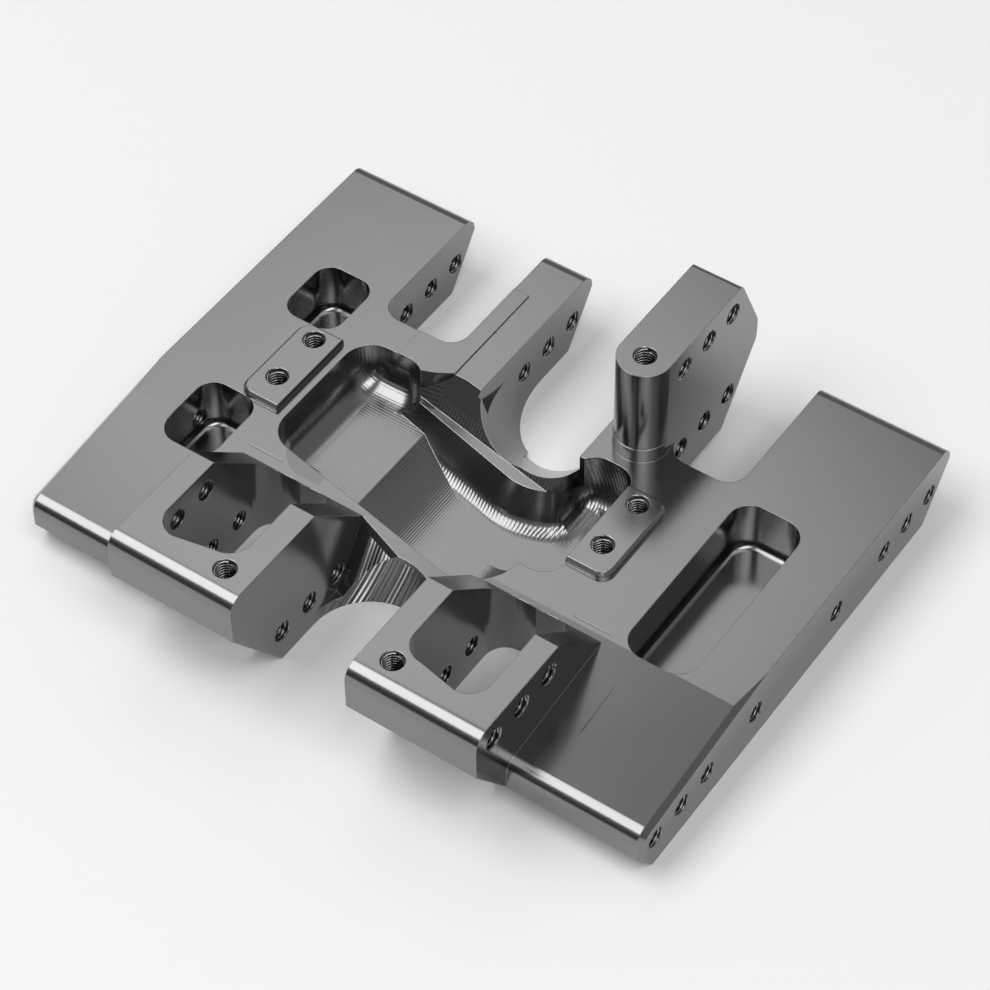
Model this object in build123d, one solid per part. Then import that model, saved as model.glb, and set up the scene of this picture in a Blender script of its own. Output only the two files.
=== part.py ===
from build123d import *
from math import cos, radians, sin, tan
import os

# Skid plate, milled from one billet of aluminium.
# Frame: X to the right, Y to the front, Z up, millimetres.
# Origin: centre of the outline, on the flat underside.

# Overall block
WIDTH = 98.0
LENGTH = 82.7
PLATE_TOP = 10.9
FRONT = LENGTH / 2
REAR = -LENGTH / 2

# Underside ramps at the front and at the rear
RAMP_ANGLE = 54.5
FRONT_NOSE_HEIGHT = 8.3
REAR_NOSE_HEIGHT = 13.0
NOSE_ROUND = 2.2

# Wings: the top falls towards the rear
WING_SETBACK = 6.4
WING_SLOPE_LENGTH = 22.4
WING_SLOPE_ANGLE = 6.5
WING_CORNER = 0.8

# Front slots for the links, on both sides of the middle opening
WING_INNER = 29.2
SLOT_END = 18.3
SLOT_CORNER = 3.0
PRONG_LEFT = -16.15
POST_RIGHT = 18.1

# Threaded holes, cut at the thread's outer diameter
THREAD_RADIUS = 1.5
THREAD_MOUTH = 0.15
LINK_PITCH = 6.0
LINK_HOLES = 3
LINK_HEIGHT = 5.1
FRONT_LINK_SETBACK = 4.85
REAR_LINK_SETBACK = 9.8
SIDE_HOLE_FRONT = 12.15
SIDE_HOLE_REAR = -7.95
SIDE_HOLE_DEPTH = 9.0

# Post that carries the upper link
POST_TOP = 27.6
POST_WIDTH = 7.75
POST_BACK_CENTRE = 18.5
POST_BOTTOM = 2.4
POST_NOSE_LOW = 13.8
POST_NOSE_HIGH = 17.3
POST_TOP_SETBACK = 4.8
POST_LINK_SETBACK = 7.0
POST_UPPER_DROP = 3.55
POST_LOWER_HEIGHT = 8.35
POST_SCREW_DEPTH = 12.0
POST_STEP_HEIGHT = 13.3
POST_STEP = 0.12

# Rear yokes, one on each side of the tunnel
YOKE_TOP = 20.3
YOKE_INNER = 8.95
YOKE_OUTER = 28.8
YOKE_INNER_WALL = 3.85
YOKE_OUTER_WALL = 3.5
YOKE_TOP_LENGTH = 18.0
YOKE_RAMP_ANGLE = 43.5
YOKE_BAR = 5.15
YOKE_BAR_SLANT = 1.2
YOKE_REAR_ROUND = 2.4
YOKE_CORNER = 3.2
YOKE_CORNER_SHARE = 0.3
YOKE_SCALLOP = 0.45
YOKE_UPPER_DROP = 3.5
YOKE_UPPER_SETBACK = 3.9
YOKE_UPPER_RUN = 0.5
YOKE_SCREW_X = 13.1
YOKE_SCREW_SETBACK = 4.6
YOKE_SCREW_DEPTH = 8.0

# Tunnel between the yokes
TUNNEL_END_CENTRE = -25.15
TUNNEL_LIP_LEFT = -13.4
TUNNEL_LIP_RIGHT = -19.2
TUNNEL_LIP_RUN = 6.5
TUNNEL_LIP_DROP = 9.0

# Middle opening at the front, with a sloping half round end
OPENING_HALF = 8.9
OPENING_FOOT = 15.6
OPENING_SLOPE = 43.0
OPENING_UPPER_END = 13.2
OPENING_UPPER_FLOOR = 7.6

# Shaft clearance: a round cut that leans across the opening's end
SHAFT_RADIUS = 7.3
SHAFT_X = -2.15
SHAFT_Y = 25.1
SHAFT_RUN_X = -0.42
SHAFT_RUN_Y = 0.97
SHAFT_SIDE = -2.7

# Sump: a bay at the left, a channel across and a bay at the right
SUMP_YAW = -11.0
SUMP_LEFT = -28.2
SUMP_FRONT = 13.15
SUMP_BACK = -14.2
BAY_FLOOR = 4.2
BAY_RIGHT = -17.9
BAY_NOSE = 1.5
BAY_NOSE_FRONT = 6.9
BAY_CORNER = 4.4
BAY_FOOT = 4.0
CHANNEL_FLOOR = 2.0
CHANNEL_MIDDLE = -1.5
CHANNEL_END_ROUND = 7.5
CHANNEL_LEFT = -14.3
CHANNEL_RIGHT = 12.6
CHANNEL_SWEEP = 20.0
CHANNEL_CORNER = 7.0
RIGHT_BAY_LEFT = 9.2
RIGHT_BAY_RIGHT = 17.65
RIGHT_BAY_BACK = -8.45
RIGHT_BAY_CORNER = 3.4
RIGHT_BAY_FOOT = 3.2
RIGHT_BAY_STEP = 0.1

# Ridge between the channel and the middle opening
SHELF_HEIGHT = 6.8
SHELF_FRONT = 8.0
FACET_FRONT = 12.15
FACET_REACH = 1.2
FACET_END_LEFT = 0.6
FACET_END_BACK = 1.2
FACET_TURN_RIGHT = 1.8
FACET_TURN_BACK = 0.3
CREST_YAW = -13.8
CREST_START_X = 0.7
CREST_START_Y = 6.05
CREST_BULGE = 9.0
CREST_CORNER = 2.5
CREST_RIGHT = 8.65
WALL_LEAN = 35.0
WALL_FOOT = 3.0
WALL_SETBACK = 1.3

# Pads with two screws each
PAD_HEIGHT = 1.0
PAD_LENGTH = 15.5
PAD_CENTRE = 2.7
PAD_CORNER = 2.0
PAD_BEVEL = 0.4
PAD_SCREW_PITCH = 8.4
PAD_SCREW_SHIFT = 1.1
PAD_SCREW_DEPTH = 8.0
LEFT_PAD_X = -32.95
LEFT_PAD_WIDTH = 6.5
RIGHT_PAD_WIDTH = 6.35
RIGHT_PAD_SCREW = 2.75

# Pockets that take weight out of the wings
POCKET_FLOOR = 2.7
POCKET_WALL = 7.8
POCKET_WIDTH = 9.0
POCKET_CORNER = 2.8
FRONT_POCKET_LENGTH = 11.0
FRONT_POCKET_CENTRE = 16.35
REAR_POCKET_LENGTH = 11.85
REAR_POCKET_CENTRE = -10.9
LONG_POCKET_WIDTH = 10.3
LONG_POCKET_LENGTH = 30.2
LONG_POCKET_CENTRE = 2.35
LONG_POCKET_CORNER = 3.3
POCKET_FLOOR_ROUND = 1.0

# Low land beside the prong
LAND_HEIGHT = 0.2
LAND_LEFT = -22.35
LAND_RIGHT = -13.6
LAND_FRONT = 30.4

# Clearance by which cutting bodies run past a face
PAST = 2.0
HOLE_PAST = 1.0


def side_prism(points, x_low, x_high):
    """Outline in Y and Z, extruded across X."""
    face = Plane.YZ.offset(x_low) * make_face(Polyline(*points, close=True))
    return extrude(face, x_high - x_low)


def plan_prism(points, z_low, z_high):
    """Outline in X and Y, extruded upwards."""
    face = Pos(0, 0, z_low) * make_face(Polyline(*points, close=True))
    return extrude(face, z_high - z_low)


def rounded_block(x_low, x_high, y_low, y_high, z_low, z_high, corner):
    """Upright block with rounded vertical corners."""
    outline = RectangleRounded(x_high - x_low, y_high - y_low, corner)
    middle = Pos((x_low + x_high) / 2, (y_low + y_high) / 2, z_low)
    return middle * extrude(outline, z_high - z_low)


def edges_at_height(body, height):
    """Edges that lie level at the given height."""
    level = body.edges().filter_by_position(Axis.Z, height - 0.01, height + 0.01)
    return level


def cross_hole(x_low, x_high, y, z, radius):
    """Round hole along X."""
    length = x_high - x_low
    return Pos((x_low + x_high) / 2, y, z) * Rot(0, 90, 0) * Cylinder(radius, length)


def cross_mouth(x_face, side, y, z):
    """Small cone at the mouth of a hole along X; side is the way out."""
    cone = Cone(THREAD_RADIUS, THREAD_RADIUS + THREAD_MOUTH, THREAD_MOUTH)
    return Pos(x_face - side * THREAD_MOUTH / 2, y, z) * Rot(0, 90 * side, 0) * cone


def screw_hole(x, y, top, depth):
    """Blind threaded hole from above, with a drilled point and a small mouth."""
    shank = Pos(x, y, top - depth / 2) * Cylinder(THREAD_RADIUS, depth)
    tip = Pos(x, y, top - depth - THREAD_RADIUS / 4) * Cone(0.0, THREAD_RADIUS, THREAD_RADIUS / 2)
    mouth_z = top - THREAD_MOUTH / 2
    mouth = Pos(x, y, mouth_z) * Cone(THREAD_RADIUS, THREAD_RADIUS + THREAD_MOUTH, THREAD_MOUTH)
    return shank + tip + mouth


def row_from_rear(setback):
    """Places along Y of one row of link holes; the last one is this far from the rear."""
    return [REAR + setback + LINK_PITCH * i for i in range(LINK_HOLES)]


def row_from_front(setback):
    """Places along Y of one row of link holes; the foremost is this far from the front."""
    return [FRONT - setback - LINK_PITCH * i for i in reversed(range(LINK_HOLES))]


def slab():
    """Full width plate with its ramps, noses and sloping rear wings."""
    rear = REAR + WING_SETBACK
    ramp = tan(radians(RAMP_ANGLE))
    rear_foot = REAR + REAR_NOSE_HEIGHT / ramp
    front_foot = FRONT - FRONT_NOSE_HEIGHT / ramp
    drop = WING_SLOPE_LENGTH * tan(radians(WING_SLOPE_ANGLE))
    outline = [
        (rear_foot, 0),
        (front_foot, 0),
        (FRONT, FRONT_NOSE_HEIGHT),
        (FRONT, PLATE_TOP),
        (rear + WING_SLOPE_LENGTH, PLATE_TOP),
        (rear, PLATE_TOP - drop),
        (rear, (rear_foot - rear) * ramp),
    ]
    body = side_prism(outline, -WIDTH / 2, WIDTH / 2)
    across = body.edges().filter_by(Axis.X)
    front_edge = across.filter_by_position(Axis.Y, FRONT - 0.01, FRONT + 0.01)
    body = fillet(front_edge.sort_by(Axis.Z)[-1], NOSE_ROUND)
    rear_edge = body.edges().filter_by(Axis.X).filter_by_position(Axis.Y, rear - 0.01, rear + 0.01)
    body = fillet(rear_edge.sort_by(Axis.Z)[-1], NOSE_ROUND)
    corners = body.edges().filter_by(Axis.Z).filter_by_position(Axis.Y, rear - 0.01, rear + 0.01)
    return chamfer(corners, WING_CORNER)


def yoke(side):
    """One solid rear block, before its pocket and holes are cut."""
    ramp = tan(radians(RAMP_ANGLE))
    rear_foot = REAR + REAR_NOSE_HEIGHT / ramp
    top_front = REAR + YOKE_TOP_LENGTH
    foot = top_front + (YOKE_TOP - PLATE_TOP) / tan(radians(YOKE_RAMP_ANGLE))
    outline = [
        (rear_foot, 0),
        (foot, 0),
        (foot, PLATE_TOP),
        (top_front, YOKE_TOP),
        (REAR, YOKE_TOP),
        (REAR, REAR_NOSE_HEIGHT),
    ]
    x_low = min(side * YOKE_INNER, side * YOKE_OUTER)
    body = side_prism(outline, x_low, x_low + YOKE_OUTER - YOKE_INNER)
    rear_top = body.edges().filter_by(Axis.X).filter_by_position(Axis.Z, YOKE_TOP - 0.01, YOKE_TOP + 0.01)
    return fillet(rear_top.sort_by(Axis.Y)[0], YOKE_REAR_ROUND)


def yoke_pocket(side):
    """Opening through one yoke, with a slanted rear and a scalloped front."""
    near = YOKE_INNER + YOKE_INNER_WALL
    far = YOKE_OUTER - YOKE_OUTER_WALL
    middle = (near + far) / 2
    back = REAR + YOKE_BAR
    top_front = REAR + YOKE_TOP_LENGTH
    front = top_front + (YOKE_TOP - PLATE_TOP) / tan(radians(YOKE_RAMP_ANGLE))
    r = YOKE_CORNER
    cut = YOKE_CORNER_SHARE * r
    cusp = front - YOKE_SCALLOP
    outline = [
        Line((near, back + YOKE_BAR_SLANT + r), (near, front - r)),
        ThreePointArc((near, front - r), (near + cut, front - cut), (near + r, front)),
        ThreePointArc((near + r, front), ((near + r + middle) / 2, front), (middle, cusp)),
        ThreePointArc((middle, cusp), ((far - r + middle) / 2, front), (far - r, front)),
        ThreePointArc((far - r, front), (far - cut, front - cut), (far, front - r)),
        Line((far, front - r), (far, back + r)),
        ThreePointArc((far, back + r), (far - cut, back + cut), (far - r, back)),
        Line((far - r, back), (near + r, back + YOKE_BAR_SLANT)),
        ThreePointArc(
            (near + r, back + YOKE_BAR_SLANT),
            (near + cut, back + YOKE_BAR_SLANT + cut),
            (near, back + YOKE_BAR_SLANT + r),
        ),
    ]
    face = Pos(0, 0, -PAST) * make_face(Curve() + outline)
    body = extrude(face, YOKE_TOP + 2 * PAST)
    if side < 0:
        body = mirror(body, Plane.YZ)
    return body


def tunnel():
    """Rear opening between the yokes, with a half round end and a sloping lip."""
    depth = TUNNEL_END_CENTRE - REAR + PAST
    middle_y = TUNNEL_END_CENTRE - depth / 2
    height = YOKE_TOP + 2 * PAST
    way = Pos(0, middle_y, height / 2 - PAST) * Box(2 * YOKE_INNER, depth, height)
    end = Pos(0, TUNNEL_END_CENTRE, height / 2 - PAST) * Cylinder(YOKE_INNER, height)
    start = TUNNEL_END_CENTRE - YOKE_INNER
    lip = [
        (-YOKE_INNER, start, PLATE_TOP),
        (YOKE_INNER, start, PLATE_TOP),
        (YOKE_INNER, TUNNEL_LIP_RIGHT, PLATE_TOP),
        (-YOKE_INNER, TUNNEL_LIP_LEFT, PLATE_TOP),
    ]
    slope = Vector(0, -TUNNEL_LIP_RUN, -TUNNEL_LIP_DROP)
    face = make_face(Polyline(*lip, close=True))
    sloping = extrude(face, slope.length, dir=slope.normalized())
    above = extrude(face, YOKE_TOP, dir=(0, 0, 1))
    return way + end + sloping + above


def front_slot(x_low, x_high):
    """Slot for one link, open to the front."""
    return rounded_block(x_low, x_high, SLOT_END, FRONT + 2 * SLOT_CORNER, -PAST, YOKE_TOP, SLOT_CORNER)


def middle_opening():
    """Opening with straight sides and an end that slopes down to the front."""
    slope = radians(OPENING_SLOPE)
    axis_y = OPENING_FOOT + OPENING_HALF / sin(slope)
    way = Vector(0, cos(slope), -sin(slope))
    plane = Plane(origin=(0, axis_y, 0), x_dir=(1, 0, 0), z_dir=(way.X, way.Y, way.Z))
    upright = Pos(0, -LENGTH / 2) * Rectangle(2 * OPENING_HALF, LENGTH)
    outline = plane * (Circle(OPENING_HALF) + upright)
    sloping = extrude(outline, LENGTH, both=True)
    shaft = shaft_cut()
    upper = Pos(0, OPENING_UPPER_END + LENGTH / 2, OPENING_UPPER_FLOOR + POST_TOP / 2) * Box(
        2 * OPENING_HALF, LENGTH, POST_TOP
    )
    return sloping + upper + shaft


def shaft_cut():
    """Round cut for the shaft, kept to the opening and to the right of its side plane."""
    way = Vector(SHAFT_RUN_X, SHAFT_RUN_Y, -1)
    place = Plane(origin=(SHAFT_X, SHAFT_Y, 0), z_dir=(way.X, way.Y, way.Z))
    cut = extrude(place * Circle(SHAFT_RADIUS), LENGTH, both=True)
    side_x = SHAFT_SIDE - SHAFT_RUN_X * PLATE_TOP
    right = OPENING_HALF
    limit = [
        (SHAFT_SIDE + PAST * SHAFT_RUN_X, -PAST),
        (right, -PAST),
        (right, PLATE_TOP),
        (side_x, PLATE_TOP),
    ]
    front = Plane.XZ.offset(-FRONT) * make_face(Polyline(*limit, close=True))
    return cut & extrude(front, FRONT)


def post():
    """Upright arm with a round back and a nose like the front ramp."""
    ramp = tan(radians(RAMP_ANGLE))
    foot = FRONT - (POST_NOSE_LOW - POST_BOTTOM) / ramp
    x_low = POST_RIGHT - POST_WIDTH
    outline = [
        (POST_BACK_CENTRE, POST_BOTTOM),
        (foot, POST_BOTTOM),
        (FRONT, POST_NOSE_LOW),
        (FRONT, POST_NOSE_HIGH),
        (FRONT - POST_TOP_SETBACK, POST_TOP),
        (POST_BACK_CENTRE, POST_TOP),
    ]
    arm = side_prism(outline, x_low, POST_RIGHT)
    nose = arm.edges().filter_by(Axis.X).filter_by_position(Axis.Y, FRONT - 0.01, FRONT + 0.01)
    arm = fillet(nose, NOSE_ROUND)
    crown = arm.edges().filter_by(Axis.X).filter_by_position(Axis.Z, POST_TOP - 0.01, POST_TOP + 0.01)
    arm = fillet(crown.sort_by(Axis.Y)[-1], NOSE_ROUND / 2)
    height = POST_TOP - POST_BOTTOM
    middle_x = POST_RIGHT - POST_WIDTH / 2
    back = Pos(middle_x, POST_BACK_CENTRE, POST_BOTTOM + height / 2) * Cylinder(POST_WIDTH / 2, height)
    step = POST_STEP_HEIGHT - POST_BOTTOM
    wide = POST_WIDTH / 2 + POST_STEP
    foot = Pos(middle_x, POST_BACK_CENTRE, POST_BOTTOM + step / 2) * Cylinder(wide, step)
    behind = Pos(middle_x, POST_BACK_CENTRE - POST_WIDTH, POST_BOTTOM + step / 2) * Box(
        2 * POST_WIDTH, 2 * POST_WIDTH, step
    )
    return arm + back + (foot & behind)


def post_base_relief():
    """Cuts the slab away under and in front of the post."""
    ramp = tan(radians(RAMP_ANGLE))
    foot = FRONT - (POST_NOSE_LOW - POST_BOTTOM) / ramp
    rise = FRONT - foot
    outline = [
        (SLOT_END, -PAST),
        (SLOT_END, POST_BOTTOM),
        (foot, POST_BOTTOM),
        (foot + rise, POST_NOSE_LOW),
        (FRONT + PAST, POST_NOSE_LOW),
        (FRONT + PAST, -PAST),
    ]
    return side_prism(outline, OPENING_HALF, POST_RIGHT + PAST / 2)


def channel_frame():
    """Frame turned with the channel, origin on the middle plane."""
    return Rot(0, 0, SUMP_YAW)


def yawed_y(offset, x):
    """Y of a line that crosses the middle plane at offset and runs with the channel."""
    return offset + x * tan(radians(SUMP_YAW))


def sump_bay():
    """Deep bay at the left end of the sump."""
    left_back = yawed_y(SUMP_BACK, SUMP_LEFT)
    inner = BAY_RIGHT + BAY_NOSE
    outline = [
        (SUMP_LEFT, left_back),
        (inner, yawed_y(SUMP_BACK, inner)),
        (inner, yawed_y(BAY_NOSE_FRONT, inner)),
        (BAY_RIGHT, SUMP_FRONT),
        (SUMP_LEFT, SUMP_FRONT),
    ]
    body = plan_prism(outline, BAY_FLOOR, PLATE_TOP + PAST)
    upright = body.edges().filter_by(Axis.Z)
    left = upright.filter_by_position(Axis.X, SUMP_LEFT - 0.01, SUMP_LEFT + 0.01)
    right = upright.filter_by_position(Axis.X, BAY_RIGHT - 0.01, BAY_RIGHT + 0.01)
    body = fillet(left + right, BAY_CORNER)
    return fillet(edges_at_height(body, BAY_FLOOR), BAY_FOOT)


def crest_corner():
    """Middle of the crest's bulge in X and Y, and where the bulge meets the right bay."""
    crest_yaw = radians(CREST_YAW)
    middle_x = CREST_START_X - CREST_BULGE * sin(crest_yaw)
    middle_y = CREST_START_Y + CREST_BULGE * cos(crest_yaw)
    reach = CREST_RIGHT - middle_x
    meet_y = middle_y - (CREST_BULGE**2 - reach**2) ** 0.5
    return middle_x, middle_y, meet_y


def crest_outline(far_left, far_right):
    """Plan of the channel's side of the crest, with generous room to the rear."""
    middle_x, middle_y, meet_y = crest_corner()
    lowest = middle_y - CREST_BULGE
    left_y = CREST_START_Y + (far_left - CREST_START_X) * tan(radians(CREST_YAW))
    outline = [
        Line((far_left, REAR), (far_left, left_y)),
        Line((far_left, left_y), (CREST_START_X, CREST_START_Y)),
        ThreePointArc((CREST_START_X, CREST_START_Y), (middle_x, lowest), (CREST_RIGHT, meet_y)),
        Line((CREST_RIGHT, meet_y), (CREST_RIGHT, FRONT)),
        Line((CREST_RIGHT, FRONT), (far_right, FRONT)),
        Line((far_right, FRONT), (far_right, REAR)),
        Line((far_right, REAR), (far_left, REAR)),
    ]
    return make_face(Curve() + outline)


def ridge_keep(far_left, top):
    """Space in which the ridge wall is cut, clear of the bays' own walls."""
    reach_right = (RIGHT_BAY_LEFT + RIGHT_BAY_RIGHT) / 2
    reach_front = SUMP_FRONT - RIGHT_BAY_CORNER / 2
    reach_back = yawed_y(CHANNEL_MIDDLE, RIGHT_BAY_RIGHT)
    bay_side = BAY_RIGHT - WALL_SETBACK
    bay_front = SUMP_FRONT - BAY_CORNER
    corners = [
        (far_left, reach_back),
        (reach_right, reach_back),
        (reach_right, reach_front),
        (bay_side, reach_front),
        (bay_side, bay_front),
        (far_left, bay_front),
    ]
    return plan_prism(corners, CHANNEL_FLOOR, top)


def ridge_wall():
    """Front side of the channel: a leaning wall that bulges round the opening's end."""
    top = PLATE_TOP + PAST
    far_left = SUMP_LEFT + BAY_FOOT
    far_right = WING_INNER
    meet_y = crest_corner()[2]
    above = extrude(Pos(0, 0, SHELF_HEIGHT) * crest_outline(far_left, far_right), top - SHELF_HEIGHT)
    turned = above.edges().filter_by(Axis.Z).sort_by_distance((CREST_RIGHT, meet_y, top))[0]
    above = fillet(turned, CREST_CORNER)
    level = above.faces().sort_by(Axis.Z)[0]
    below = extrude(level, SHELF_HEIGHT - CHANNEL_FLOOR, dir=(0, 0, -1), taper=WALL_LEAN)
    foot = edges_at_height(below, CHANNEL_FLOOR)
    foot = foot.filter_by_position(Axis.X, far_left, far_right - CREST_BULGE)
    foot = foot.filter_by_position(Axis.Y, CHANNEL_MIDDLE, FRONT - CREST_BULGE)
    below = fillet(foot, WALL_FOOT)
    return (above + below) & ridge_keep(far_left, top)


def channel_trough(top):
    """Long trough along the channel, with a round foot at its rear wall."""
    turn = cos(radians(SUMP_YAW))
    back = SUMP_BACK * turn
    front = CHANNEL_MIDDLE * turn
    walls = [(back, CHANNEL_FLOOR), (front, CHANNEL_FLOOR), (front, top), (back, top)]
    trough = side_prism(walls, -WIDTH / 2, WIDTH / 2)
    foot = edges_at_height(trough, CHANNEL_FLOOR).filter_by(Axis.X).sort_by(Axis.Y)
    return channel_frame() * fillet(foot[0], BAY_FOOT)


def channel_space(start, top):
    """Space over the channel's floor, which sweeps up to the bay's floor at the left."""
    rise = BAY_FLOOR - CHANNEL_FLOOR
    sweep_x = CHANNEL_LEFT + (CHANNEL_SWEEP**2 - (CHANNEL_SWEEP - rise) ** 2) ** 0.5
    half = (CHANNEL_LEFT + sweep_x) / 2
    half_z = CHANNEL_FLOOR + CHANNEL_SWEEP - (CHANNEL_SWEEP**2 - (half - sweep_x) ** 2) ** 0.5
    bottom = [
        ThreePointArc((CHANNEL_LEFT, BAY_FLOOR), (half, half_z), (sweep_x, CHANNEL_FLOOR)),
        Line((sweep_x, CHANNEL_FLOOR), (RIGHT_BAY_RIGHT, CHANNEL_FLOOR)),
        Line((RIGHT_BAY_RIGHT, CHANNEL_FLOOR), (RIGHT_BAY_RIGHT, top)),
        Line((RIGHT_BAY_RIGHT, top), (start, top)),
        Line((start, top), (start, BAY_FLOOR)),
        Line((start, BAY_FLOOR), (CHANNEL_LEFT, BAY_FLOOR)),
    ]
    section = Plane.XZ * make_face(Curve() + bottom)
    return extrude(section, LENGTH, both=True)


def channel_corner(start, top):
    """Plan of the channel, rounded where its rear wall meets its right end."""
    corner = [
        (start, yawed_y(SUMP_BACK, start)),
        (CHANNEL_RIGHT, yawed_y(SUMP_BACK, CHANNEL_RIGHT)),
        (CHANNEL_RIGHT, FRONT),
        (start, FRONT),
    ]
    plan = plan_prism(corner, 0, top)
    turned = plan.edges().filter_by(Axis.Z).sort_by(Axis.Y)[0]
    return fillet(turned, CHANNEL_CORNER)


def channel_end(start, top):
    """Right end of the channel, with a round foot."""
    side = [(REAR, CHANNEL_FLOOR), (FRONT, CHANNEL_FLOOR), (FRONT, top), (REAR, top)]
    end = side_prism(side, start, CHANNEL_RIGHT)
    foot = edges_at_height(end, CHANNEL_FLOOR).filter_by(Axis.Y).sort_by(Axis.X)[-1]
    return fillet(foot, CHANNEL_END_ROUND)


def sump_channel():
    """Channel across the plate, from the left bay to the right one."""
    top = PLATE_TOP + PAST
    start = BAY_RIGHT - BAY_FOOT
    rear_side = channel_trough(top) & channel_end(start, top) & channel_corner(start, top)
    return (rear_side + ridge_wall()) & channel_space(start, top)


def right_bay():
    """Bay at the right end of the sump, beside the right pad."""
    body = rounded_block(
        RIGHT_BAY_LEFT,
        RIGHT_BAY_RIGHT,
        RIGHT_BAY_BACK,
        SUMP_FRONT - RIGHT_BAY_STEP,
        CHANNEL_FLOOR,
        PLATE_TOP + PAST,
        RIGHT_BAY_CORNER,
    )
    return fillet(edges_at_height(body, CHANNEL_FLOOR), RIGHT_BAY_FOOT)


def ridge_cut():
    """Shelf and steep facet that shape the ridge between sump and opening."""
    turn = cos(radians(SUMP_YAW))
    rise = (PLATE_TOP - SHELF_HEIGHT) / (FACET_FRONT - SHELF_FRONT)
    over = FACET_FRONT + PAST / rise
    outline = [
        (CHANNEL_MIDDLE, SHELF_HEIGHT),
        (SHELF_FRONT, SHELF_HEIGHT),
        (over, PLATE_TOP + PAST),
        (CHANNEL_MIDDLE, PLATE_TOP + PAST),
    ]
    outline = [(v * turn, z) for v, z in outline]
    wedge = channel_frame() * side_prism(outline, -WIDTH / 2, WIDTH / 2)
    limit = [
        (BAY_RIGHT - FACET_END_LEFT, SUMP_FRONT - FACET_END_BACK),
        (BAY_RIGHT + FACET_TURN_RIGHT, SUMP_FRONT - FACET_TURN_BACK),
        (LAND_RIGHT, SUMP_FRONT + FACET_REACH),
        (RIGHT_BAY_LEFT, SUMP_FRONT + FACET_REACH),
        (RIGHT_BAY_LEFT, 0),
        (BAY_RIGHT - FACET_END_LEFT, 0),
    ]
    return wedge & plan_prism(limit, SHELF_HEIGHT - PAST, PLATE_TOP + PAST)


def pad(x_low, x_high):
    """Low pad with rounded corners and a bevelled rim."""
    y_low = PAD_CENTRE - PAD_LENGTH / 2
    y_high = PAD_CENTRE + PAD_LENGTH / 2
    top = PLATE_TOP + PAD_HEIGHT
    body = rounded_block(x_low, x_high, y_low, y_high, PLATE_TOP - PAD_HEIGHT, top, PAD_CORNER)
    return chamfer(edges_at_height(body, top), PAD_BEVEL)


def left_pad():
    """Left pad: rounded at its outer corners, cut off square at its inner side."""
    outer = LEFT_PAD_X - LEFT_PAD_WIDTH / 2
    inner = LEFT_PAD_X + LEFT_PAD_WIDTH / 2
    body = pad(outer, inner + PAD_CORNER + PAD_BEVEL)
    off = Pos(inner + LEFT_PAD_WIDTH / 2, PAD_CENTRE, PLATE_TOP) * Box(LEFT_PAD_WIDTH, LENGTH, 2 * PLATE_TOP)
    return body - off


def pad_screws(x):
    """Two threaded holes in a pad."""
    top = PLATE_TOP + PAD_HEIGHT
    middle = PAD_CENTRE + PAD_SCREW_SHIFT
    low = screw_hole(x, middle - PAD_SCREW_PITCH / 2, top, PAD_SCREW_DEPTH)
    high = screw_hole(x, middle + PAD_SCREW_PITCH / 2, top, PAD_SCREW_DEPTH)
    return low + high


def land():
    """Shallow land that the finishing pass leaves beside the prong."""
    middle_x = (LAND_LEFT + LAND_RIGHT) / 2
    middle_y = (SUMP_FRONT + LAND_FRONT) / 2
    return Pos(middle_x, middle_y, PLATE_TOP) * Box(
        LAND_RIGHT - LAND_LEFT, LAND_FRONT - SUMP_FRONT + 2 * PAST, 2 * LAND_HEIGHT
    )


def wing_pocket(x, y, width, length, corner):
    """Blind pocket with a rounded floor edge."""
    body = rounded_block(
        x - width / 2,
        x + width / 2,
        y - length / 2,
        y + length / 2,
        POCKET_FLOOR,
        PLATE_TOP + PAST,
        corner,
    )
    return fillet(edges_at_height(body, POCKET_FLOOR), POCKET_FLOOR_ROUND)


def wing_pockets():
    """Two pockets in the left wing and a long one in the right wing, behind equal side walls."""
    left_x = POCKET_WALL + POCKET_WIDTH / 2 - WIDTH / 2
    right_x = WIDTH / 2 - POCKET_WALL - LONG_POCKET_WIDTH / 2
    return [
        wing_pocket(left_x, FRONT_POCKET_CENTRE, POCKET_WIDTH, FRONT_POCKET_LENGTH, POCKET_CORNER),
        wing_pocket(left_x, REAR_POCKET_CENTRE, POCKET_WIDTH, REAR_POCKET_LENGTH, POCKET_CORNER),
        wing_pocket(right_x, LONG_POCKET_CENTRE, LONG_POCKET_WIDTH, LONG_POCKET_LENGTH, LONG_POCKET_CORNER),
    ]


def front_link_holes():
    """Rows through the wings and the prong beside the front slots."""
    half = WIDTH / 2
    holes = []
    for y in row_from_front(FRONT_LINK_SETBACK):
        holes.append(cross_hole(-half - HOLE_PAST, -OPENING_HALF + HOLE_PAST, y, LINK_HEIGHT, THREAD_RADIUS))
        holes.append(cross_hole(WING_INNER - HOLE_PAST, half + HOLE_PAST, y, LINK_HEIGHT, THREAD_RADIUS))
        holes.append(cross_mouth(-WING_INNER, 1, y, LINK_HEIGHT))
        holes.append(cross_mouth(WING_INNER, -1, y, LINK_HEIGHT))
        holes.append(cross_mouth(-OPENING_HALF, 1, y, LINK_HEIGHT))
        holes.append(cross_mouth(PRONG_LEFT, -1, y, LINK_HEIGHT))
    return holes


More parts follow.
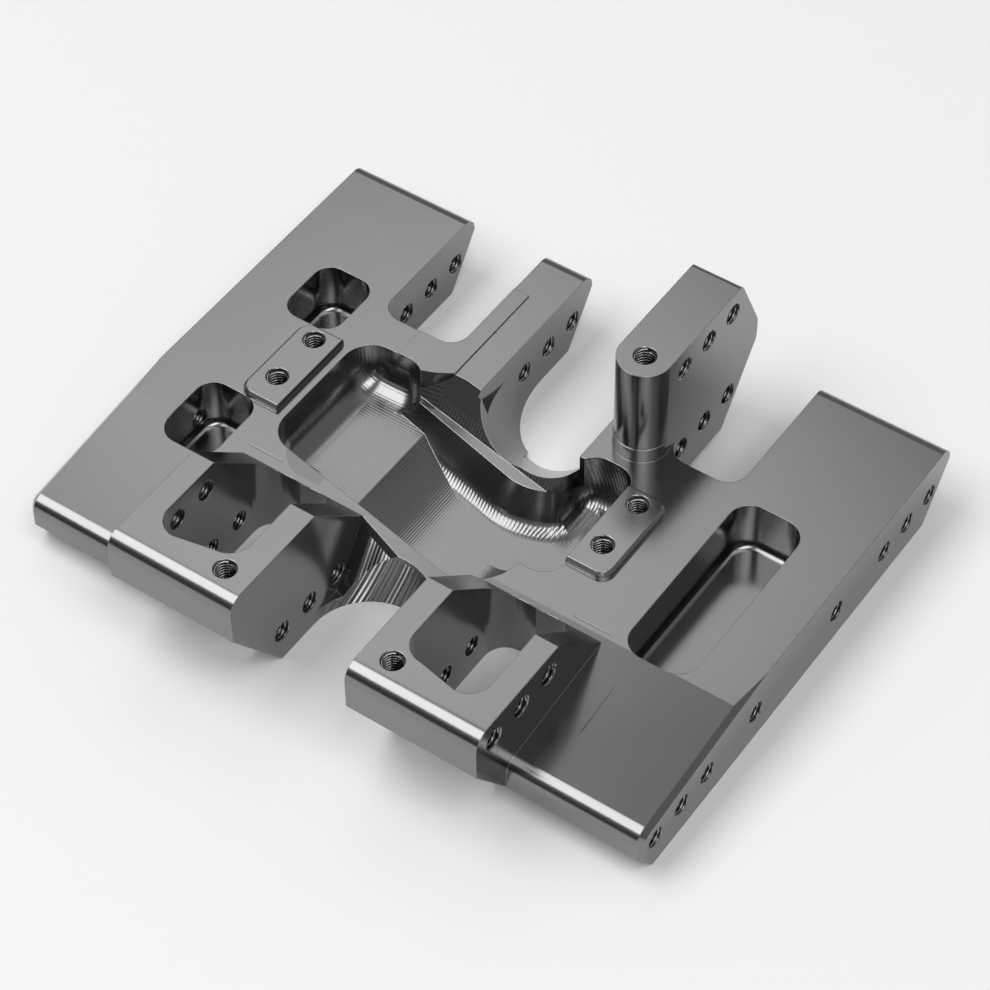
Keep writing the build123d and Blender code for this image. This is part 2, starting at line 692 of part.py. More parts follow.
def rear_link_holes():
    """Rows through the wings and the yokes' walls."""
    half = WIDTH / 2
    holes = []
    for y in row_from_rear(REAR_LINK_SETBACK):
        holes.append(cross_hole(-half - HOLE_PAST, -YOKE_INNER + HOLE_PAST, y, LINK_HEIGHT, THREAD_RADIUS))
        holes.append(cross_hole(YOKE_INNER - HOLE_PAST, half + HOLE_PAST, y, LINK_HEIGHT, THREAD_RADIUS))
        holes.append(cross_mouth(-YOKE_INNER, 1, y, LINK_HEIGHT))
        holes.append(cross_mouth(YOKE_INNER, -1, y, LINK_HEIGHT))
    return holes


def yoke_upper_holes():
    """Rows high up in the yokes' outer walls."""
    height = YOKE_TOP - YOKE_UPPER_DROP
    holes = []
    for y in row_from_rear(YOKE_UPPER_SETBACK):
        for side in (-1, 1):
            inner = side * (YOKE_OUTER - YOKE_OUTER_WALL - YOKE_UPPER_RUN)
            outer = side * (YOKE_OUTER + HOLE_PAST)
            low = min(inner, outer)
            high = max(inner, outer)
            holes.append(cross_hole(low, high, y, height, THREAD_RADIUS))
            holes.append(cross_mouth(side * YOKE_OUTER, side, y, height))
    return holes


def post_holes():
    """Rows through the post: an upper one, and a lower one through its foot."""
    upper = (POST_RIGHT - POST_WIDTH, POST_TOP - POST_UPPER_DROP)
    lower = (OPENING_HALF, POST_LOWER_HEIGHT)
    holes = []
    for y in row_from_front(POST_LINK_SETBACK):
        for x, z in (lower, upper):
            holes.append(cross_hole(x - HOLE_PAST, POST_RIGHT + HOLE_PAST, y, z, THREAD_RADIUS))
            holes.append(cross_mouth(POST_RIGHT, 1, y, z))
            holes.append(cross_mouth(x, -1, y, z))
    return holes


def side_holes():
    """Two more holes in each side face, and the mouths of all holes there."""
    half = WIDTH / 2
    holes = []
    for y in (SIDE_HOLE_FRONT, SIDE_HOLE_REAR):
        holes.append(cross_hole(-half - HOLE_PAST, -half + SIDE_HOLE_DEPTH, y, LINK_HEIGHT, THREAD_RADIUS))
        holes.append(cross_hole(half - SIDE_HOLE_DEPTH, half + HOLE_PAST, y, LINK_HEIGHT, THREAD_RADIUS))
    rows = row_from_front(FRONT_LINK_SETBACK) + row_from_rear(REAR_LINK_SETBACK)
    for y in rows + [SIDE_HOLE_FRONT, SIDE_HOLE_REAR]:
        holes.append(cross_mouth(half, 1, y, LINK_HEIGHT))
        holes.append(cross_mouth(-half, -1, y, LINK_HEIGHT))
    return holes


def skid_plate():
    """The whole plate as one solid."""
    body = slab() + yoke(-1) + yoke(1)
    body = body + land()
    body = body - tunnel()
    body = body - front_slot(-WING_INNER, PRONG_LEFT)
    body = body - front_slot(POST_RIGHT, WING_INNER)
    body = body - post_base_relief()
    body = body + post()
    body = body - middle_opening()
    body = body + left_pad()
    body = body + pad(RIGHT_BAY_RIGHT - PAD_CORNER - PAD_BEVEL, RIGHT_BAY_RIGHT + RIGHT_PAD_WIDTH)
    body = body - sump_bay()
    body = body - sump_channel()
    body = body - right_bay()
    body = body - ridge_cut()
    body = body - yoke_pocket(1) - yoke_pocket(-1)
    for pocket in wing_pockets():
        body = body - pocket
    body = body - pad_screws(LEFT_PAD_X) - pad_screws(RIGHT_BAY_RIGHT + RIGHT_PAD_SCREW)
    body = body - screw_hole(POST_RIGHT - POST_WIDTH / 2, POST_BACK_CENTRE, POST_TOP, POST_SCREW_DEPTH)
    for side in (-1, 1):
        x = side * YOKE_SCREW_X
        body = body - screw_hole(x, REAR + YOKE_SCREW_SETBACK, YOKE_TOP, YOKE_SCREW_DEPTH)
    holes = front_link_holes() + rear_link_holes() + yoke_upper_holes() + post_holes() + side_holes()
    for hole in holes:
        body = body - hole
    return body


os.makedirs("parts", exist_ok=True)
plate = skid_plate()
export_step(plate, "parts/skid_plate.step")
print("solids", len(plate.solids()), "volume", round(plate.volume, 1))
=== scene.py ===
import math

import bpy
from mathutils import Matrix, Vector


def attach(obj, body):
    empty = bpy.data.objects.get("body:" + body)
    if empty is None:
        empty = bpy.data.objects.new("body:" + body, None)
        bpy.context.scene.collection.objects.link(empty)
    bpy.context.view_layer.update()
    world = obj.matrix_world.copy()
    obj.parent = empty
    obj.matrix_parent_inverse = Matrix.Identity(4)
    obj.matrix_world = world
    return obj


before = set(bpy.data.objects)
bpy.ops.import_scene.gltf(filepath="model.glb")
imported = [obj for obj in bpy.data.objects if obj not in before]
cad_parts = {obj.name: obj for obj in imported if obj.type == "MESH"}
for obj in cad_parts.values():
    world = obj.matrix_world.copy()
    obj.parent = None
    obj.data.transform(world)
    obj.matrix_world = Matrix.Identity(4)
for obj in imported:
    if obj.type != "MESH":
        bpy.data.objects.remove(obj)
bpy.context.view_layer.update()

# The view: a long lens looks down on the rear right corner of the plate, from a
# little under half a metre away, with the front slots at the picture's top.
MM = 0.001
CAMERA_PLACE = Vector((168.323, -235.034, 340.699)) * MM
CAMERA_RIGHT = Vector((0.822407, 0.568857, -0.006886))
CAMERA_LOOK = Vector((-0.377423, 0.536510, -0.754791))
CAMERA_ANGLE = math.radians(17.116)
CAMERA_REACH = (0.01, 10.0)


def add_camera():
    data = bpy.data.cameras.new("camera")
    data.sensor_fit = "HORIZONTAL"
    data.angle = CAMERA_ANGLE
    data.clip_start, data.clip_end = CAMERA_REACH
    camera = bpy.data.objects.new("camera", data)
    bpy.context.collection.objects.link(camera)
    back = -CAMERA_LOOK.normalized()
    right = (CAMERA_RIGHT - back * CAMERA_RIGHT.dot(back)).normalized()
    up = back.cross(right)
    turn = Matrix((right, up, back)).transposed()
    camera.matrix_world = Matrix.Translation(CAMERA_PLACE) @ turn.to_4x4()
    bpy.context.scene.camera = camera


add_camera()

# The plate is one piece of aluminium milled from a billet and anodised grey.
# Flat faces are satin. The hollows keep the fine parallel passes of a ball cutter, and every
# edge is broken by about a tenth of a millimetre. Where the broken edges turn, the colour is
# painted lighter as a painted highlight.
METAL_COLOUR = (0.23, 0.23, 0.235)
# The lighter colour on the next line is painted on edges, ramp cusps and tunnel ribs as
# painted highlights and painted reflection, and it also colours the nicks.
PAINTED_HIGHLIGHT_AND_NICK_COLOUR = (0.36, 0.36, 0.365)
FLAT_ROUGHNESS = (0.17, 0.23)
WEB_ROUGHER = 0.12
EDGE_ROUND = 0.13 * MM
EDGE_TURN = (0.93, 0.995)
GRAIN_SIZE, GRAIN_HEIGHT = 3.0, 0.0016
SAND_SIZE, SAND_HEIGHT = 4.5, 0.024
CLOUD_SIZE = 0.09

# These sizes are in millimetres, and a pair of X or Y is where a surface starts
# and ends. The sump's channel is turned by SUMP_YAW, and YAWED is counted across it.
PLATE_TOP = 10.9
SLOPE_START = -12.55
SLOPE_FALL = math.tan(math.radians(6.5))
SUMP_YAW = math.tan(math.radians(11.0))
BAY_X, BAY_Y = (-28.4, -14.4), (-13.0, 13.3)
BAY_MIDDLE, BAY_MIDDLE_SOFT = (-5.0, 7.0), 5.0
BAY_FLOOR = 4.4
BAY_SPACING, BAY_HEIGHT, BAY_WALL_HEIGHT = 0.45, 0.004, 0.009
CHANNEL_X, CHANNEL_YAWED = (-14.4, 12.7), (-14.4, 9.2)
RAMP_X, RAMP_SOFT = (-17.0, -5.5), 2.5
RAMP_SPACING, RAMP_HEIGHT, RAMP_CUSP = 0.4, 0.0125, 0.35
RIDGE_FOOT_SPACING, RIDGE_FOOT_HEIGHT = 0.55, 0.022
RIGHT_BAY_X, RIGHT_BAY_Y = (9.1, 17.75), (-8.6, 13.3)
RIGHT_BAY_LEAN, RIGHT_BAY_SPACING, RIGHT_BAY_HEIGHT = 0.35, 0.6, 0.03
PASS_WANDER, PASS_WANDER_SIZE = 0.24, 0.12
PATCH_SIZE, PATCH_LEAST, PATCH_MORE = 0.16, 0.45, 1.1


class Nodes:
    """Small hand for building a material's or a modifier's node tree."""

    def __init__(self, tree):
        self.tree = tree

    def add(self, kind, **values):
        node = self.tree.nodes.new(kind)
        for name, value in values.items():
            setattr(node, name, value)
        return node

    def join(self, out_socket, in_socket):
        self.tree.links.new(out_socket, in_socket)

    def math(self, operation, *inputs, clamp=False):
        node = self.add("ShaderNodeMath", operation=operation, use_clamp=clamp)
        for socket, value in zip(node.inputs, inputs):
            if isinstance(value, bpy.types.NodeSocket):
                self.join(value, socket)
            else:
                socket.default_value = value
        return node.outputs[0]

    def step(self, value, low, high):
        """0 below low, 1 above high, smooth between."""
        node = self.add("ShaderNodeMapRange", interpolation_type="SMOOTHSTEP")
        self.join(value, node.inputs["Value"])
        node.inputs["From Min"].default_value = low
        node.inputs["From Max"].default_value = high
        return node.outputs["Result"]

    def rest_of(self, mask):
        return self.math("SUBTRACT", 1.0, mask)

    def all_of(self, *masks):
        result = masks[0]
        for mask in masks[1:]:
            result = self.math("MULTIPLY", result, mask)
        return result

    def total(self, *values):
        result = values[0]
        for value in values[1:]:
            result = self.math("ADD", result, value)
        return result


class Metal(Nodes):
    """The plate's own node tree, with places given in millimetres."""

    def __init__(self, tree):
        super().__init__(tree)
        scale = self.add("ShaderNodeVectorMath", operation="SCALE")
        self.join(self.add("ShaderNodeTexCoord").outputs["Object"], scale.inputs[0])
        scale.inputs["Scale"].default_value = 1.0 / MM
        self.mm = scale.outputs[0]
        self.geometry = self.add("ShaderNodeNewGeometry")
        self.x, self.y, self.z = self.parts_of(self.mm)
        self.nx, self.ny, self.nz = self.parts_of(self.geometry.outputs["True Normal"])
        behind = self.math("MAXIMUM", self.math("SUBTRACT", SLOPE_START, self.y), 0.0)
        top = self.math("SUBTRACT", PLATE_TOP, self.all_of(behind, SLOPE_FALL))
        self.depth = self.math("SUBTRACT", top, self.z)
        self.yawed = self.total(self.y, self.all_of(self.x, SUMP_YAW))
        self.sunk = self.step(self.depth, 0.1, 0.3)
        self.drift = self.noise(PASS_WANDER_SIZE, 1.0)

    def parts_of(self, vector):
        split = self.add("ShaderNodeSeparateXYZ")
        self.join(vector, split.inputs[0])
        return split.outputs

    def noise(self, scale, detail=2.0, rough=0.5):
        node = self.add("ShaderNodeTexNoise")
        self.join(self.mm, node.inputs["Vector"])
        node.inputs["Scale"].default_value = scale
        node.inputs["Detail"].default_value = detail
        node.inputs["Roughness"].default_value = rough
        return node.outputs["Fac"]

    def inside(self, value, place, soft=0.2):
        """1 between the two ends of a place, fading over soft."""
        low, high = place
        up = self.step(value, low - soft, low + soft)
        down = self.step(value, high - soft, high + soft)
        return self.math("SUBTRACT", up, down, clamp=True)

    def passes(self, along, spacing):
        """Cutter passes: round valleys with sharp cusps between them, 0 to 1."""
        drift = self.all_of(self.drift, PASS_WANDER / spacing)
        turns = self.total(self.math("DIVIDE", along, spacing), drift)
        wave = self.math("SINE", self.all_of(turns, math.pi))
        return self.rest_of(self.math("ABSOLUTE", wave))


def channel_zone(m):
    """1 in the turned channel of the sump."""
    return m.all_of(m.sunk, m.inside(m.yawed, CHANNEL_YAWED), m.inside(m.x, CHANNEL_X))


def ramp_zone(m):
    """1 on the ramp from the bay into the channel, where it sweeps out to level."""
    return m.inside(m.x, RAMP_X, RAMP_SOFT)


def hollow_passes(m, channel):
    """Height in millimetres of the ball cutter's passes in the sump."""
    to_back = m.step(m.all_of(m.ny, -1.0), 0.08, 0.25)
    steep = m.rest_of(m.step(m.nz, 0.97, 0.998))
    bay = m.all_of(m.sunk, m.inside(m.x, BAY_X), m.inside(m.y, BAY_Y))
    near_wall = m.rest_of(m.inside(m.y, BAY_MIDDLE, BAY_MIDDLE_SOFT))
    bay_height = m.total(m.all_of(near_wall, BAY_WALL_HEIGHT), BAY_HEIGHT)
    floor = m.all_of(channel, m.math("LESS_THAN", m.z, BAY_FLOOR), m.rest_of(to_back))
    ramp_height = m.all_of(m.total(ramp_zone(m), RAMP_CUSP), RAMP_HEIGHT)
    foot = m.all_of(channel, to_back, m.step(m.nz, 0.6, 0.7))
    right = m.all_of(m.sunk, m.inside(m.x, RIGHT_BAY_X), m.inside(m.y, RIGHT_BAY_Y), steep)
    leaning = m.total(m.x, m.all_of(m.z, RIGHT_BAY_LEAN))
    marks = m.total(
        m.all_of(bay, m.passes(m.y, BAY_SPACING), bay_height),
        m.all_of(floor, m.passes(m.x, RAMP_SPACING), ramp_height),
        m.all_of(foot, m.passes(m.x, RIDGE_FOOT_SPACING), RIDGE_FOOT_HEIGHT),
        m.all_of(right, m.passes(leaning, RIGHT_BAY_SPACING), RIGHT_BAY_HEIGHT),
    )
    patchy = m.total(m.all_of(m.noise(PATCH_SIZE), PATCH_MORE), PATCH_LEAST)
    return m.all_of(patchy, marks)


# The tunnel ends in a web that the ball cutter left ribbed. The ribs run down and to the left,
# in light and dark bands that are a painted reflection: the colour is painted lighter on the
# ribs and in the bands. The web leans back as it rises.
TUNNEL_X, TUNNEL_Y = (-8.95, 8.95), (-25.2, -12.8)
RIB_SPACING, RIB_HEIGHT, RIB_LEAN, RIB_FIRST = 0.6, 0.03, 0.336, (-6.9, -6.3)
RIB_RIM = (0.8, 1.0)
BAND_TURN, BAND_SHARE = 1.7, 0.45
WEB_RISE, RIB_RISE = 0.18, 1.25


def tunnel_web(m):
    """1 on the faces at the tunnel's end."""
    where = m.all_of(m.step(m.depth, 0.05, 0.15), m.math("LESS_THAN", m.ny, -0.15))
    return m.all_of(where, m.inside(m.x, TUNNEL_X), m.inside(m.y, TUNNEL_Y))


def tunnel_ribs(m):
    """The ribs there with their bands, 0 to 1; the colour uses it as a painted reflection."""
    drop = m.all_of(m.math("LESS_THAN", m.nz, 0.3), m.math("SUBTRACT", PLATE_TOP, m.z))
    leaning = m.total(m.x, m.all_of(drop, RIB_LEAN))
    bands = m.total(m.all_of(m.math("SINE", m.all_of(leaning, BAND_TURN)), 0.5), 0.5)
    narrow = m.passes(leaning, RIB_SPACING)
    both = m.total(m.all_of(bands, BAND_SHARE), m.all_of(narrow, 1.0 - BAND_SHARE))
    return m.all_of(both, m.step(m.depth, *RIB_RIM), m.step(leaning, *RIB_FIRST))


# Where the sump meets the middle opening, a steep facet has a sandy surface. A
# shallow crescent beside the bay, two faint lines and sparse nicks are what the
# finishing cutter and handling left on the flat top.
FACET_X, FACET_YAWED, FACET_DROP = (-18.6, 9.2), (8.0, 12.5), 0.11
SWEEP_END, SWEEP_LENGTH, SWEEP_TURN = -1.5, 9.0, 0.14
SCOOP_PLACE, SCOOP_RADIUS, SCOOP_RIGHT, SCOOP_TURN = (-18.98, -6.59), 6.24, -17.0, 0.03
REAR_LINE_Y, REAR_LINE_X = (-11.85, -11.7), (23.6, 29.2)
SIDE_LINE_X, SIDE_LINE_Y = (33.95, 34.05), (-26.0, -17.5)
LINE_SOFT, LINE_DEPTH = 0.05, 0.02
DING_SPREAD, DING_SIZE, DING_SHARE = 0.24, (0.012, 0.045), 0.62
DING_DEPTH, DING_LIGHT = 0.012, 0.5


def sandy_facet(m):
    """1 on the steep facet."""
    steep = m.all_of(m.inside(m.nz, (0.62, 0.8), 0.04), m.math("LESS_THAN", m.ny, -0.5))
    return m.all_of(steep, m.inside(m.yawed, FACET_YAWED), m.inside(m.x, FACET_X))


def scoop(m):
    """1 on the crescent, which the bay cuts off."""
    across, ahead = (m.math("SUBTRACT", at, mid) for at, mid in zip((m.x, m.y), SCOOP_PLACE))
    away = m.total(m.math("POWER", across, 2.0), m.math("POWER", ahead, 2.0))
    on_top = m.math("LESS_THAN", m.math("ABSOLUTE", m.depth), 0.1)
    left = m.math("LESS_THAN", m.x, SCOOP_RIGHT)
    near = m.math("LESS_THAN", away, SCOOP_RADIUS ** 2)
    return m.all_of(near, m.step(m.nz, 0.98, 0.99), on_top, left)


def tool_lines(m):
    """The faint lines, 0 to 1."""
    both_sides = m.inside(m.math("ABSOLUTE", m.x), REAR_LINE_X)
    rear = m.all_of(m.inside(m.y, REAR_LINE_Y, LINE_SOFT), both_sides)
    beside = m.all_of(m.inside(m.x, SIDE_LINE_X, LINE_SOFT), m.inside(m.y, SIDE_LINE_Y, 1.0))
    return m.all_of(m.total(rear, beside), m.step(m.nz, 0.9, 0.95))


def small_dings(m):
    """The nicks, 0 to 1."""
    cells = m.add("ShaderNodeTexVoronoi")
    m.join(m.mm, cells.inputs["Vector"])
    cells.inputs["Scale"].default_value = DING_SPREAD
    near = m.rest_of(m.step(cells.outputs["Distance"], *DING_SIZE))
    pick = m.add("ShaderNodeSeparateColor")
    m.join(cells.outputs["Color"], pick.inputs[0])
    return m.all_of(near, m.math("GREATER_THAN", pick.outputs[0], DING_SHARE))


def turned_normal(m, normal, channel, facet, web, ribs):
    """The face's normal, turned where the real face leans or curves a little more."""
    along = m.math("DIVIDE", m.math("SUBTRACT", SWEEP_END, m.x), SWEEP_LENGTH, clamp=True)
    level = m.math("LESS_THAN", m.math("ABSOLUTE", m.ny), 0.05)
    sweep = m.all_of(channel, level, along, SWEEP_TURN)
    dip = m.all_of(scoop(m), SCOOP_TURN)
    rise = m.all_of(web, m.total(m.all_of(ribs, RIB_RISE), WEB_RISE))
    turn = m.add("ShaderNodeCombineXYZ")
    m.join(m.math("SUBTRACT", sweep, dip), turn.inputs[0])
    m.join(dip, turn.inputs[1])
    m.join(m.math("SUBTRACT", rise, m.all_of(facet, FACET_DROP)), turn.inputs[2])
    both = m.add("ShaderNodeVectorMath", operation="ADD")
    m.join(normal, both.inputs[0])
    m.join(turn.outputs[0], both.inputs[1])
    unit = m.add("ShaderNodeVectorMath", operation="NORMALIZE")
    m.join(both.outputs[0], unit.inputs[0])
    return unit.outputs[0]


def metal_material(name, base):
    """Anodised aluminium of a base colour, painted lighter on its edges, the ramp's cusps and
    the tunnel's ribs as painted highlights and painted reflection, and lighter on its nicks.
    """
    made = bpy.data.materials.new(name)
    made.use_nodes = True
    made.node_tree.nodes.clear()
    m = Metal(made.node_tree)
    shader = m.add("ShaderNodeBsdfPrincipled")
    shader.inputs["Metallic"].default_value = 1.0
    bevel = m.add("ShaderNodeBevel", samples=6)
    bevel.inputs["Radius"].default_value = EDGE_ROUND
    # Painted highlight: where the bevelled normal turns away from the face, on the broken
    # edges, the colour is painted lighter.
    turn = m.add("ShaderNodeVectorMath", operation="DOT_PRODUCT")
    m.join(bevel.outputs["Normal"], turn.inputs[0])
    m.join(m.geometry.outputs["Normal"], turn.inputs[1])
    edge = m.rest_of(m.step(turn.outputs["Value"], *EDGE_TURN))
    channel, facet, web = channel_zone(m), sandy_facet(m), tunnel_web(m)
    ribs, dings = tunnel_ribs(m), small_dings(m)
    grain, cloud = m.noise(GRAIN_SIZE, 3.0), m.noise(CLOUD_SIZE, 3.0)

    # Painted highlight: the cusps between the ramp's cutter passes are painted lighter.
    cusps = m.all_of(channel, ramp_zone(m), m.passes(m.x, RAMP_SPACING), RAMP_CUSP)
    # This mix paints the lighter colour on the edges, cusps and ribs as painted highlights and
    # painted reflection, and on the nicks.
    colour = m.add("ShaderNodeMix", data_type="RGBA")
    light = m.total(edge, m.all_of(dings, DING_LIGHT), m.all_of(web, ribs), cusps)
    m.join(light, colour.inputs["Factor"])
    colour.inputs["A"].default_value = (*base, 1.0)
    colour.inputs["B"].default_value = (*PAINTED_HIGHLIGHT_AND_NICK_COLOUR, 1.0)
    m.join(colour.outputs["Result"], shader.inputs["Base Color"])

    rough = m.add("ShaderNodeMapRange")
    m.join(m.all_of(m.total(grain, cloud), 0.5), rough.inputs["Value"])
    rough.inputs["To Min"].default_value, rough.inputs["To Max"].default_value = FLAT_ROUGHNESS
    roughness = m.total(rough.outputs["Result"], m.all_of(web, WEB_ROUGHER))
    m.join(roughness, shader.inputs["Roughness"])

    height = m.total(
        hollow_passes(m, channel),
        m.all_of(web, ribs, RIB_HEIGHT),
        m.all_of(grain, GRAIN_HEIGHT),
        m.all_of(facet, m.noise(SAND_SIZE, 3.0, 0.7), SAND_HEIGHT),
        m.all_of(tool_lines(m), -LINE_DEPTH),
        m.all_of(dings, -DING_DEPTH),
    )
    bump = m.add("ShaderNodeBump")
    bump.inputs["Distance"].default_value = MM
    m.join(height, bump.inputs["Height"])
    normal = turned_normal(m, bevel.outputs["Normal"], channel, facet, web, ribs)
    m.join(normal, bump.inputs["Normal"])
    m.join(bump.outputs["Normal"], shader.inputs["Normal"])
    out = m.add("ShaderNodeOutputMaterial")
    m.join(shader.outputs["BSDF"], out.inputs["Surface"])
    return made


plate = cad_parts["skid_plate"]
metal = metal_material("grey_anodised_aluminium", METAL_COLOUR)
for place in plate.material_slots:
    place.material = metal


# Every small hole is tapped M3: a sixty degree thread of half a millimetre
# pitch runs from just inside the mouth to the far end.
THREAD_PITCH = 0.5 * MM
THREAD_WALL = 1.52 * MM
THREAD_RIDGE = 0.205 * MM
THREAD_STEPS = 24
# The threads' colour is painted lighter than the plate's, a painted highlight on the ridges
# deep in the holes.
THREAD_PAINTED_HIGHLIGHT_COLOUR = (0.44, 0.44, 0.44)
ALONG_X = (0.0, math.radians(90), 0.0)
UPRIGHT = (0.0, 0.0, 0.0)
TAP_INPUTS = {
    "Count": "NodeSocketInt",
    "Step": "NodeSocketVector",
    "Turn": "NodeSocketVector",
    "Length": "NodeSocketFloat",
    "Turns": "NodeSocketFloat",
    "Metal": "NodeSocketMaterial",
}

# A row starts at its lowest x and at the y and z of its first hole, all in
# millimetres. The holes of a row of three are 6 mm apart.
ROW_STEP = (0, 6, 0)
OUTER_LEFT = -48.65
FRONT_ROW, REAR_ROW = (24.5, 5.1), (-31.55, 5.1)
YOKE_UPPER_ROW = (-37.45, 16.8)
POST_UPPER_ROW, POST_LOWER_ROW = (22.35, 24.05), (22.35, 8.35)
SIDE_PAIR, SIDE_PAIR_STEP = (-7.95, 5.1), (0, 20.1, 0)
PAD_PAIR, PAD_PAIR_STEP = (-0.4, 4.3), (0, 8.4, 0)
POST_TOP_HOLE = (18.5, 15.9)
YOKE_TOPS, YOKE_TOPS_STEP = (-36.75, 12.6), (26.2, 0, 0)


def thread_group():
    """Geometry nodes: one helical ridge, repeated along a row of holes."""
    group = bpy.data.node_groups.new("tapped_row", "GeometryNodeTree")
    face = group.interface
    face.new_socket("Geometry", in_out="OUTPUT", socket_type="NodeSocketGeometry")
    for name, kind in TAP_INPUTS.items():
        face.new_socket(name, in_out="INPUT", socket_type=kind)
    n = Nodes(group)
    given = n.add("NodeGroupInput").outputs
    helix = n.add("GeometryNodeCurveSpiral")
    helix.inputs["Resolution"].default_value = THREAD_STEPS
    for end in ("Start Radius", "End Radius"):
        helix.inputs[end].default_value = THREAD_WALL - THREAD_RIDGE / 2
    n.join(given["Turns"], helix.inputs["Rotations"])
    n.join(given["Length"], helix.inputs["Height"])
    upright = n.add("GeometryNodeSetCurveNormal", mode="Z_UP")
    n.join(helix.outputs[0], upright.inputs["Curve"])
    section = n.add("GeometryNodeCurvePrimitiveCircle", mode="RADIUS")
    section.inputs["Resolution"].default_value = 3
    section.inputs["Radius"].default_value = THREAD_RIDGE
    ridge = n.add("GeometryNodeCurveToMesh")
    ridge.inputs["Fill Caps"].default_value = True
    n.join(upright.outputs["Curve"], ridge.inputs["Curve"])
    n.join(section.outputs["Curve"], ridge.inputs["Profile Curve"])
    row = n.add("GeometryNodeMeshLine")
    n.join(given["Count"], row.inputs["Count"])
    n.join(given["Step"], row.inputs["Offset"])
    repeat = n.add("GeometryNodeInstanceOnPoints")
    n.join(row.outputs["Mesh"], repeat.inputs["Points"])
    n.join(ridge.outputs["Mesh"], repeat.inputs["Instance"])
    n.join(given["Turn"], repeat.inputs["Rotation"])
    real = n.add("GeometryNodeRealizeInstances")
    n.join(repeat.outputs[0], real.inputs[0])
    paint = n.add("GeometryNodeSetMaterial")
    n.join(real.outputs[0], paint.inputs["Geometry"])
    n.join(given["Metal"], paint.inputs["Material"])
    out = n.add("NodeGroupOutput")
    n.join(paint.outputs[0], out.inputs["Geometry"])
    return group


def tapped_row(name, x, first, length, turn=ALONG_X, count=3, step=ROW_STEP):
    """Threads of one row of holes, length millimetres deep."""
    host = bpy.data.objects.new(name, bpy.data.meshes.new(name))
    bpy.context.collection.objects.link(host)
    nodes = host.modifiers.new("thread", "NODES")
    nodes.node_group = taps
    values = {
        "Count": count,
        "Step": [v * MM for v in step],
        "Turn": turn,
        "Length": length * MM,
        "Turns": length * MM / THREAD_PITCH,
        "Metal": thread_metal,
    }
    for item in taps.interface.items_tree:
        if item.in_out == "INPUT":
            nodes[item.identifier] = values[item.name]
    solved = host.evaluated_get(bpy.context.evaluated_depsgraph_get())
    made = bpy.data.meshes.new_from_object(solved)
    host.modifiers.clear()
    host.data = made
    made.name = name
    made.transform(Matrix.Translation(Vector((x, *first)) * MM))
    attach(host, "root")


# Painted highlight: the thread material is the plate's material with a lighter colour.
thread_metal = metal_material("painted_highlight_thread_aluminium", THREAD_PAINTED_HIGHLIGHT_COLOUR)
taps = thread_group()
tapped_row("thread_left_front", OUTER_LEFT, FRONT_ROW, 19.1)
tapped_row("thread_prong", -15.8, FRONT_ROW, 6.55)
tapped_row("thread_right_front", 29.55, FRONT_ROW, 19.1)
tapped_row("thread_left_rear", OUTER_LEFT, REAR_ROW, 23.1)
tapped_row("thread_left_inner", -12.55, REAR_ROW, 3.25)
tapped_row("thread_right_inner", 9.3, REAR_ROW, 3.25)
tapped_row("thread_right_rear", 25.55, REAR_ROW, 23.1)
tapped_row("thread_left_upper", -28.45, YOKE_UPPER_ROW, 2.9)
tapped_row("thread_right_upper", 25.55, YOKE_UPPER_ROW, 2.9)
tapped_row("thread_post_upper", 10.7, POST_UPPER_ROW, 7.05)
tapped_row("thread_post_lower", 9.25, POST_LOWER_ROW, 8.5)
tapped_row("thread_left_side", OUTER_LEFT, SIDE_PAIR, 7.2, count=2, step=SIDE_PAIR_STEP)
tapped_row("thread_right_side", 41.45, SIDE_PAIR, 7.2, count=2, step=SIDE_PAIR_STEP)
tapped_row("thread_left_pad", -32.95, PAD_PAIR, 7.25, UPRIGHT, 2, PAD_PAIR_STEP)
tapped_row("thread_right_pad", 20.4, PAD_PAIR, 7.25, UPRIGHT, 2, PAD_PAIR_STEP)
tapped_row("thread_post_top", 14.225, POST_TOP_HOLE, 11.35, UPRIGHT, 1)
tapped_row("thread_yoke_tops", -13.1, YOKE_TOPS, 7.35, UPRIGHT, 2, YOKE_TOPS_STEP)


# The studio: a pale floor, two large soft boxes overhead on the camera's side, a
# smaller and weaker one beyond the plate at the left, and a dim plain room that
# is darker low down behind the camera.
FLOOR_COLOUR = (0.86, 0.86, 0.86, 1.0)
FLOOR_HALF = 3.0
BOX_HEIGHT = 1.5
ROOM_LIGHT = 0.42
ROOM_DARKER = 0.7
DARK_HEIGHT = (0.35, 0.6)
DARK_SIDE = (-0.6, 0.0)


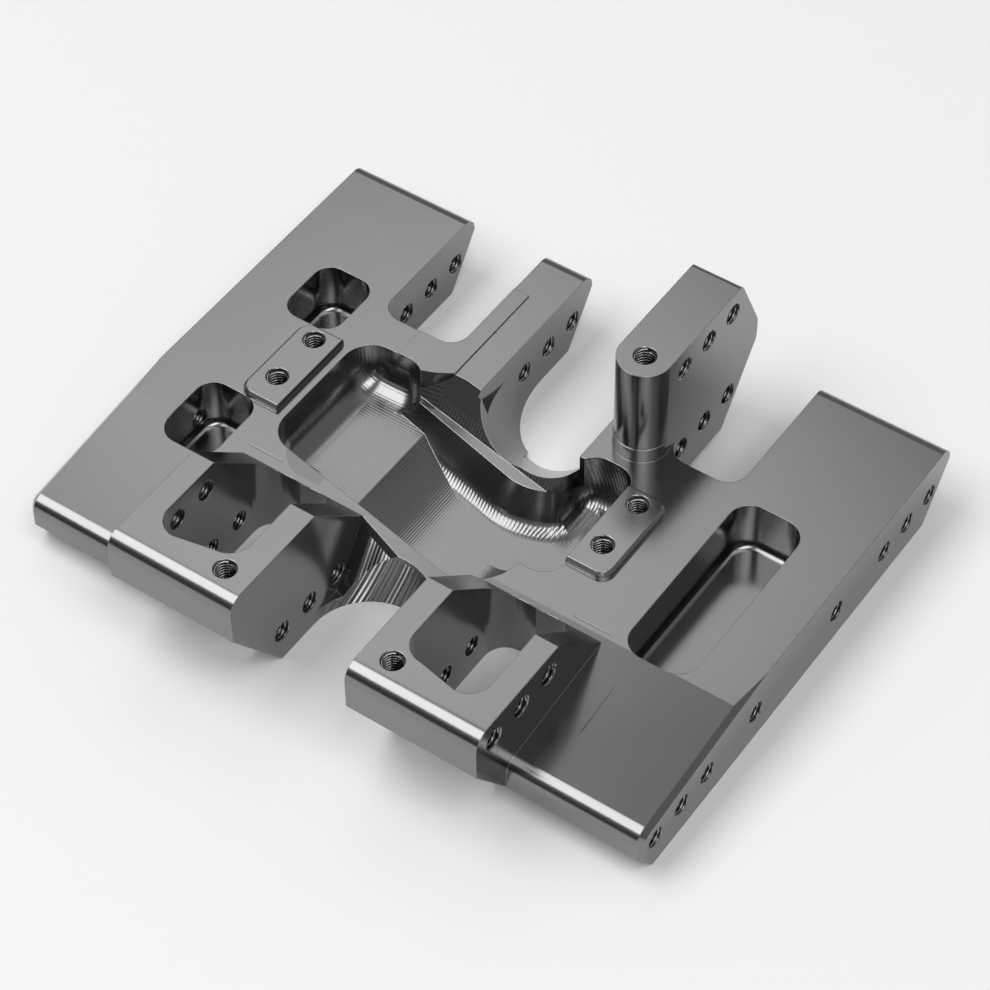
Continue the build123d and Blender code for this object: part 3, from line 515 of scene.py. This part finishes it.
def add_floor():
    mesh = bpy.data.meshes.new("floor")
    around = ((-1, -1), (1, -1), (1, 1), (-1, 1))
    corners = [(x * FLOOR_HALF, y * FLOOR_HALF, 0) for x, y in around]
    mesh.from_pydata(corners, [], [(0, 1, 2, 3)])
    floor = bpy.data.objects.new("floor", mesh)
    bpy.context.collection.objects.link(floor)
    paint = bpy.data.materials.new("pale_floor")
    paint.use_nodes = True
    shader = paint.node_tree.nodes["Principled BSDF"]
    shader.inputs["Base Color"].default_value = FLOOR_COLOUR
    shader.inputs["Roughness"].default_value = 0.9
    shader.inputs["Specular IOR Level"].default_value = 0.0
    mesh.materials.append(paint)


def add_soft_box(name, x, y, size, radiance, turn=0.0):
    data = bpy.data.lights.new(name, "AREA")
    data.shape = "RECTANGLE"
    data.size, data.size_y = size
    data.energy = radiance * math.pi * data.size * data.size_y
    box = bpy.data.objects.new(name, data)
    box.location = (x, y, BOX_HEIGHT)
    box.rotation_euler = (0.0, 0.0, math.radians(turn))
    bpy.context.collection.objects.link(box)


def add_room():
    world = bpy.data.worlds.new("room")
    world.use_nodes = True
    bpy.context.scene.world = world
    world.node_tree.nodes.clear()
    n = Nodes(world.node_tree)
    split = n.add("ShaderNodeSeparateXYZ")
    n.join(n.add("ShaderNodeTexCoord").outputs["Generated"], split.inputs[0])
    low = n.rest_of(n.step(split.outputs["Z"], *DARK_HEIGHT))
    near = n.rest_of(n.step(split.outputs["Y"], *DARK_SIDE))
    light = n.all_of(n.rest_of(n.all_of(low, near, ROOM_DARKER)), ROOM_LIGHT)
    glow = n.add("ShaderNodeBackground")
    n.join(light, glow.inputs["Strength"])
    out = n.add("ShaderNodeOutputWorld")
    n.join(glow.outputs[0], out.inputs["Surface"])


add_floor()
add_soft_box("soft_box", -0.80, -0.62, size=(1.1, 1.68), radiance=3.4)
add_soft_box("right_box", 0.75, -0.62, size=(0.8, 1.4), radiance=3.8)
add_soft_box("back_box", -0.85, 0.89, size=(0.74, 0.90), radiance=1.22, turn=-17.7)
add_room()
bpy.context.scene.view_settings.view_transform = "Standard"
